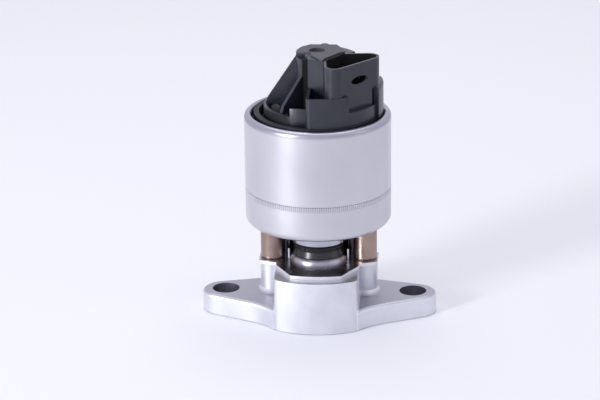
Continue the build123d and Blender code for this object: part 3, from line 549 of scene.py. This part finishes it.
def moulded_plastic(name, low, high, roughness):
    """Moulded plastic with painted shade, darker and duller by the face attribute recess, from 0
    to 1.
    """
    material, tree, shader = surface(name, low, 0.0, roughness)
    mottle = add_grain(tree, shader, 1700, 0.2, 120)
    vary(tree, shader, mottle, "Base Color", low, high)
    vary(tree, shader, mottle, "Roughness", roughness - 0.04, roughness + 0.06)
    recess = tree.nodes.new("ShaderNodeAttribute")
    recess.attribute_name = "recess"
    depth = recess.outputs["Fac"]
    # Painted shade in the recesses; Metallic on a near-black colour darkens them further.
    tint(tree, shader, depth, recess_shade_colour)
    dull(tree, shader, depth, recess_dulling)
    sink = math_node(tree, "MULTIPLY", depth, recess_sink)
    tree.links.new(sink, shader.inputs["Metallic"])
    return material


def turned_metal(name, low, high, roughness):
    """Bare or plated metal with a fine turned grain."""
    material, tree, shader = surface(name, low, 1.0, roughness)
    mottle = add_grain(tree, shader, 800, 0.08, 150)
    vary(tree, shader, mottle, "Base Color", low, high)
    vary(tree, shader, mottle, "Roughness", roughness - 0.03, roughness + 0.05)
    return material


def black_rubber():
    """Black seal rubber."""
    material, tree, shader = surface("black_rubber", linear(30, 30, 33), 0.0, 0.5)
    mottle = add_grain(tree, shader, 1500, 0.2, 200)
    vary(tree, shader, mottle, "Roughness", 0.24, 0.36)
    return material


# ---- Plain finishes: darker and lighter tone (sRGB), and roughness
metals = {
    "polished_steel": ((160, 158, 165), (172, 170, 177), 0.35),
    "bright_plating": ((174, 174, 185), (186, 186, 197), 0.2),
    "bronze_spacer": ((152, 133, 125), (166, 146, 136), 0.3),
    "turned_steel": ((170, 170, 175), (185, 185, 190), 0.3),
    "pole_iron": ((150, 150, 154), (162, 162, 166), 0.4),
    "thin_stainless": ((185, 185, 190), (195, 195, 200), 0.28),
    "bearing_bronze": ((175, 140, 100), (190, 152, 110), 0.35),
    "screw_steel": ((125, 125, 130), (140, 140, 145), 0.35),
    "spring_steel": ((140, 140, 145), (155, 155, 160), 0.25),
    "coil_copper": ((180, 105, 70), (195, 118, 80), 0.35),
    "blade_tin": ((200, 198, 190), (212, 210, 202), 0.25),
}
plastics = {
    "cap_plastic": ((33, 36, 47), (40, 43, 55), 0.29),
    "lid_plastic": ((72, 71, 80), (80, 79, 88), 0.6),
    "bobbin_plastic": ((40, 40, 44), (46, 46, 50), 0.5),
    "follower_plastic": ((225, 222, 210), (232, 229, 218), 0.35),
    "track_ceramic": ((215, 213, 200), (224, 222, 210), 0.4),
}
materials = {
    "cast_aluminium": cast_aluminium(),
    "can_steel": can_steel(),
    "black_rubber": black_rubber(),
}
for kind, finishes in ((moulded_plastic, plastics), (turned_metal, metals)):
    for name, (low, high, roughness) in finishes.items():
        materials[name] = kind(name, linear(*low), linear(*high), roughness)
slots = {part["node"]: part["material_slot"] for part in frame["record"]["subparts"]}


# ==== Finished pieces
def object_from(shape, name):
    """A bmesh becomes a piece at the origin."""
    mesh = bpy.data.meshes.new(name)
    shape.to_mesh(mesh)
    shape.free()
    piece = bpy.data.objects.new(name, mesh)
    bpy.context.scene.collection.objects.link(piece)
    return piece


def round_edges(shape, width):
    """Bevels the sharp edges of a closed shape."""
    sharp = [
        edge
        for edge in shape.edges
        if len(edge.link_faces) == 2 and edge.calc_face_angle(0.0) > sharp_angle
    ]
    bmesh.ops.bevel(
        shape,
        geom=sharp,
        offset=width,
        offset_type="OFFSET",
        affect="EDGES",
        segments=bevel_segments,
        profile=0.5,
        material=-1,
        clamp_overlap=True,
    )


def probes(ring, place, centre):
    """Points just inside a face beside one of its corners."""
    corner = ring[place]
    before = ring[place - 1] - corner
    after = ring[(place + 1) % len(ring)] - corner
    between = before.normalized() + after.normalized()
    step = min(corner_pull, corner_share * min(before.length, after.length))
    for way in (centre - corner, between, -between):
        yield corner + step * way.normalized()


def shade(piece, node=None):
    """Smooth shading, broken at sharp edges; faces on the node's surface take its normals."""
    mesh = piece.data
    for face in mesh.polygons:
        face.use_smooth = True
    mesh.set_sharp_from_angle(angle=smooth_angle)
    if not node:
        return
    source = frame["nodes"][node].data
    source.calc_loop_triangles()
    places = [vertex.co.copy() for vertex in source.vertices]
    corners = [list(triangle.vertices) for triangle in source.loop_triangles]
    normals = [
        [source.corner_normals[loop].vector.copy() for loop in triangle.loops]
        for triangle in source.loop_triangles
    ]
    tree = BVHTree.FromPolygons(places, corners)
    settled = [normal.vector.copy() for normal in mesh.corner_normals]
    for face in mesh.polygons:
        ring = [mesh.vertices[vertex].co for vertex in face.vertices]
        for place, loop in enumerate(face.loop_indices):
            for probe in probes(ring, place, face.center):
                found, flat, index, gap = tree.find_nearest(probe)
                if gap > surface_gap or face.normal.dot(flat) < same_surface:
                    continue
                shares = poly_3d_calc([places[vertex] for vertex in corners[index]], found)
                normal = Vector()
                for share, part in zip(shares, normals[index]):
                    normal += share * part
                settled[loop] = normal.normalized()
                break
    mesh.normals_split_custom_set(settled)


def finish_piece(piece, body, slot_name, material=None):
    """Material, slot and body of a finished piece."""
    piece.data.materials.append(material or materials[slot_name])
    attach(piece, body)


def joined_copy(node):
    """A bmesh of a CAD solid with its triangles joined and its flats made whole."""
    shape = bmesh.new()
    shape.from_mesh(frame["nodes"][node].data)
    bmesh.ops.remove_doubles(shape, verts=shape.verts, dist=merge_distance)
    bmesh.ops.dissolve_limit(shape, angle_limit=flat_angle, verts=shape.verts, edges=shape.edges)
    return shape


def rounded_solid(node, width, material=None):
    """The CAD solid with its sharp edges rounded; it stands for the node."""
    shape = joined_copy(node)
    round_edges(shape, width)
    piece = object_from(shape, node + "_finished")
    shade(piece, node)
    finish_piece(piece, "housing", slots[node], material)
    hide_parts(node)


def domed_cup():
    """The bearing cup, its top pressed to a dome that comes down onto the plate."""
    low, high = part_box("bearing_cup")
    inner = cup_radius - cup_wall
    profile = [
        (cup_bore_radius, high.z - cup_wall),
        (inner, high.z - cup_wall),
        (inner, low.z),
        (high.x, low.z),
        (high.x, plate_foot_z),
        (cup_radius, plate_foot_z),
        (cup_radius, plate_top_z),
    ]
    for step in range(dome_steps + 1):
        turn = math.radians(90 * step / dome_steps)
        across = dome_top_radius + (dome_foot_radius - dome_top_radius) * math.cos(turn)
        profile.append((across, plate_top_z + (high.z - plate_top_z) * math.sin(turn)))
    profile.append((cup_bore_radius, high.z))
    shape = bmesh.new()
    ring = [shape.verts.new((x, 0, z)) for x, z in profile]
    edges = [shape.edges.new(pair) for pair in zip(ring, ring[1:] + ring[:1])]
    bmesh.ops.spin(
        shape,
        geom=ring + edges,
        cent=(0, 0, 0),
        axis=(0, 0, 1),
        angle=math.radians(360),
        steps=cup_steps,
        use_merge=True,
    )
    bmesh.ops.recalc_face_normals(shape, faces=shape.faces)
    piece = object_from(shape, "bearing_cup_finished")
    shade(piece)
    finish_piece(piece, "housing", "polished_steel")
    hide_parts("bearing_cup")


def sprung(node):
    """A finished copy of a coil spring, with a mesh of its own; it stands for the node."""
    piece = object_from(joined_copy(node), node + "_finished")
    shade(piece, node)
    finish_piece(piece, "housing", slots[node])
    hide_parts(node)
    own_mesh(piece)


def prism(points, low, high):
    """An upright block over a ring of plan points in millimetres."""
    shape = bmesh.new()
    ring = [shape.verts.new((x * MM, y * MM, low)) for x, y in points]
    foot = shape.faces.new(ring)
    raised = bmesh.ops.extrude_face_region(shape, geom=[foot])["geom"]
    moved = [item for item in raised if isinstance(item, bmesh.types.BMVert)]
    bmesh.ops.translate(shape, verts=moved, vec=(0, 0, high - low))
    bmesh.ops.recalc_face_normals(shape, faces=shape.faces)
    return shape


def window_cutter():
    """An oval block across the socket's outer wall."""
    shape = bmesh.new()
    bmesh.ops.create_cone(
        shape, cap_ends=True, segments=window_steps, radius1=0.5, radius2=0.5, depth=1.0
    )
    size = (window_width, window_height, window_depth)
    bmesh.ops.scale(shape, vec=size, verts=shape.verts)
    upright = Matrix.Rotation(math.radians(90), 3, "X")
    bmesh.ops.rotate(shape, matrix=upright, verts=shape.verts)
    bmesh.ops.rotate(shape, matrix=Matrix.Rotation(socket_angle, 3, "Z"), verts=shape.verts)
    across = Vector((math.sin(socket_angle), -math.cos(socket_angle), 0))
    place = across * window_reach + Vector((0, 0, window_z))
    bmesh.ops.translate(shape, verts=shape.verts, vec=place)
    return object_from(shape, "window_cutter")


def finished_cap():
    """The moulded cap: latch window cut through, edges rounded as the mould leaves them."""
    rough = object_from(joined_copy("sensor_cap"), "sensor_cap_rough")
    cutter = window_cutter()
    cut = rough.modifiers.new("window", "BOOLEAN")
    cut.operation = "DIFFERENCE"
    cut.solver = "EXACT"
    cut.object = cutter
    bpy.context.view_layer.update()
    seen = rough.evaluated_get(bpy.context.evaluated_depsgraph_get())
    shape = bmesh.new()
    shape.from_mesh(seen.to_mesh())
    seen.to_mesh_clear()
    bpy.data.objects.remove(cutter)
    bpy.data.objects.remove(rough)
    mark_recesses(shape)
    round_edges(shape, cap_edge)
    piece = object_from(shape, "sensor_cap_finished")
    shade(piece, "sensor_cap")
    finish_piece(piece, "housing", "cap_plastic")
    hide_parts("sensor_cap")


def in_socket(x, y):
    """Whether a plan point in millimetres lies inside the socket's wall."""
    for first, second in zip(socket_rounds, socket_rounds[1:] + socket_rounds[:1]):
        for step in range(socket_tries + 1):
            share = step / socket_tries
            near = [a + (b - a) * share for a, b in zip(first, second)]
            if math.hypot(x - near[0], y - near[1]) < near[2] + socket_half_wall:
                return True
    return False


def mark_recesses(shape):
    """Face attribute recess, the strength of painted shade: 1 in socket and flute, less in gutter
    and floor, 0 elsewhere.
    """
    layer = shape.faces.layers.float.new("recess")
    for face in shape.faces:
        middle = face.calc_center_median()
        x, y = middle.x / MM, middle.y / MM
        flute = flute_left < x < flute_right and flute_front < y < flute_back
        deep = middle.z < recess_top_z
        outside = math.hypot(x, y) > gutter_radius
        gutter = outside and middle.z < gutter_z
        floor = not outside and middle.z < floor_z
        if deep and (flute or in_socket(x, y)):
            face[layer] = 1.0
        elif gutter or floor:
            face[layer] = gutter_shade


def baffle_front():
    """Face of the baffle, in front of the cap's raised rim."""
    shape = prism(baffle_points, baffle_low, baffle_high)
    round_edges(shape, baffle_edge)
    piece = object_from(shape, "baffle_face")
    shade(piece)
    finish_piece(piece, "housing", "cap_plastic")


def shield_flanges(material):
    """The heat shield's two ends, turned out towards the standoffs."""
    for side, name in ((-1, "shield_flange_left"), (1, "shield_flange_right")):
        shape = bmesh.new()
        line = [shape.verts.new((side * x * MM, y * MM, plate_top_z)) for x, y in flange_points]
        edges = [shape.edges.new(pair) for pair in zip(line, line[1:])]
        raised = bmesh.ops.extrude_edge_only(shape, edges=edges)["geom"]
        moved = [item for item in raised if isinstance(item, bmesh.types.BMVert)]
        bmesh.ops.translate(shape, verts=moved, vec=(0, 0, flange_high - plate_top_z))
        bmesh.ops.solidify(shape, geom=shape.faces[:], thickness=flange_wall)
        bmesh.ops.recalc_face_normals(shape, faces=shape.faces)
        round_edges(shape, flange_edge)
        piece = object_from(shape, name)
        shade(piece)
        finish_piece(piece, "housing", "polished_steel", material)


for part in frame["record"]["subparts"]:
    node = frame["nodes"][part["node"]]
    node.data.materials.clear()
    node.data.materials.append(materials[part["material_slot"]])

sheet_steel = plate_steel()
finished_cap()
baffle_front()
shield_flanges(sheet_steel)
domed_cup()
sprung("return_spring")
sprung("sensor_spring")
rounded_solid("sensor_lid", lid_edge)
rounded_solid("base_casting", casting_edge)
rounded_solid("retainer_plate", plate_edge, sheet_steel)

# ==== Floor, light and camera
bpy.ops.mesh.primitive_plane_add(size=floor_size, location=(0, 0, -floor_drop))
floor = bpy.context.object
floor.name = "floor"
floor_material = surface("floor", linear(*floor_colour), 0.0, floor_roughness)[0]
floor.data.materials.append(floor_material)

world = bpy.data.worlds.new("studio")
bpy.context.scene.world = world
world.use_nodes = True
studio = world.node_tree
sky = studio.nodes["Background"]
sky.inputs["Color"].default_value = linear(*sky_colour)
sky.inputs["Strength"].default_value = sky_strength
backdrop = studio.nodes.new("ShaderNodeBackground")
backdrop.inputs["Color"].default_value = linear(*backdrop_colour)
backdrop.inputs["Strength"].default_value = backdrop_strength
path = studio.nodes.new("ShaderNodeLightPath")
mirrored = math_node(
    studio, "MAXIMUM", path.outputs["Is Glossy Ray"], path.outputs["Is Transmission Ray"]
)
direct = math_node(studio, "MAXIMUM", path.outputs["Is Camera Ray"], mirrored)
choose = studio.nodes.new("ShaderNodeMixShader")
studio.links.new(direct, choose.inputs[0])
studio.links.new(sky.outputs[0], choose.inputs[1])
studio.links.new(backdrop.outputs[0], choose.inputs[2])
studio.links.new(choose.outputs[0], studio.nodes["World Output"].inputs["Surface"])


def soft_box(name, place, width, height, power):
    """A rectangular lamp that faces the valve."""
    data = bpy.data.lights.new(name, "AREA")
    data.shape = "RECTANGLE"
    data.size = width
    data.size_y = height
    data.energy = power
    lamp = bpy.data.objects.new(name, data)
    bpy.context.scene.collection.objects.link(lamp)
    lamp.location = place
    lamp.rotation_euler = (camera_target - Vector(place)).to_track_quat("-Z", "Y").to_euler()


soft_box("key_left", place=(-0.77, -0.76, 0.26), width=0.2, height=0.5, power=8.5)
soft_box("fill_right", place=(1.0, -0.3, 0.3), width=0.4, height=0.8, power=0.6)
soft_box("top", place=(0.0, 0.2, 0.9), width=0.9, height=0.9, power=3.9)

back = Vector(
    (
        math.sin(camera_azimuth) * math.cos(camera_elevation),
        -math.cos(camera_azimuth) * math.cos(camera_elevation),
        math.sin(camera_elevation),
    )
)
level_right = (-back).cross(Vector((0, 0, 1))).normalized()
level_up = level_right.cross(-back)
right = level_right * math.cos(camera_roll) + level_up * math.sin(camera_roll)
up = level_up * math.cos(camera_roll) - level_right * math.sin(camera_roll)
axis = (-back + right * aim_right + up * aim_up).normalized()
right = axis.cross(up).normalized()
up = right.cross(axis)
camera_data = bpy.data.cameras.new("camera")
camera_data.lens = camera_lens
camera = bpy.data.objects.new("camera", camera_data)
bpy.context.scene.collection.objects.link(camera)
turn = Matrix((right, up, -axis)).transposed()
place = Matrix.Translation(camera_target + back * camera_distance)
camera.matrix_world = place @ turn.to_4x4()
bpy.context.scene.camera = camera
bpy.context.scene.view_settings.view_transform = "Standard"
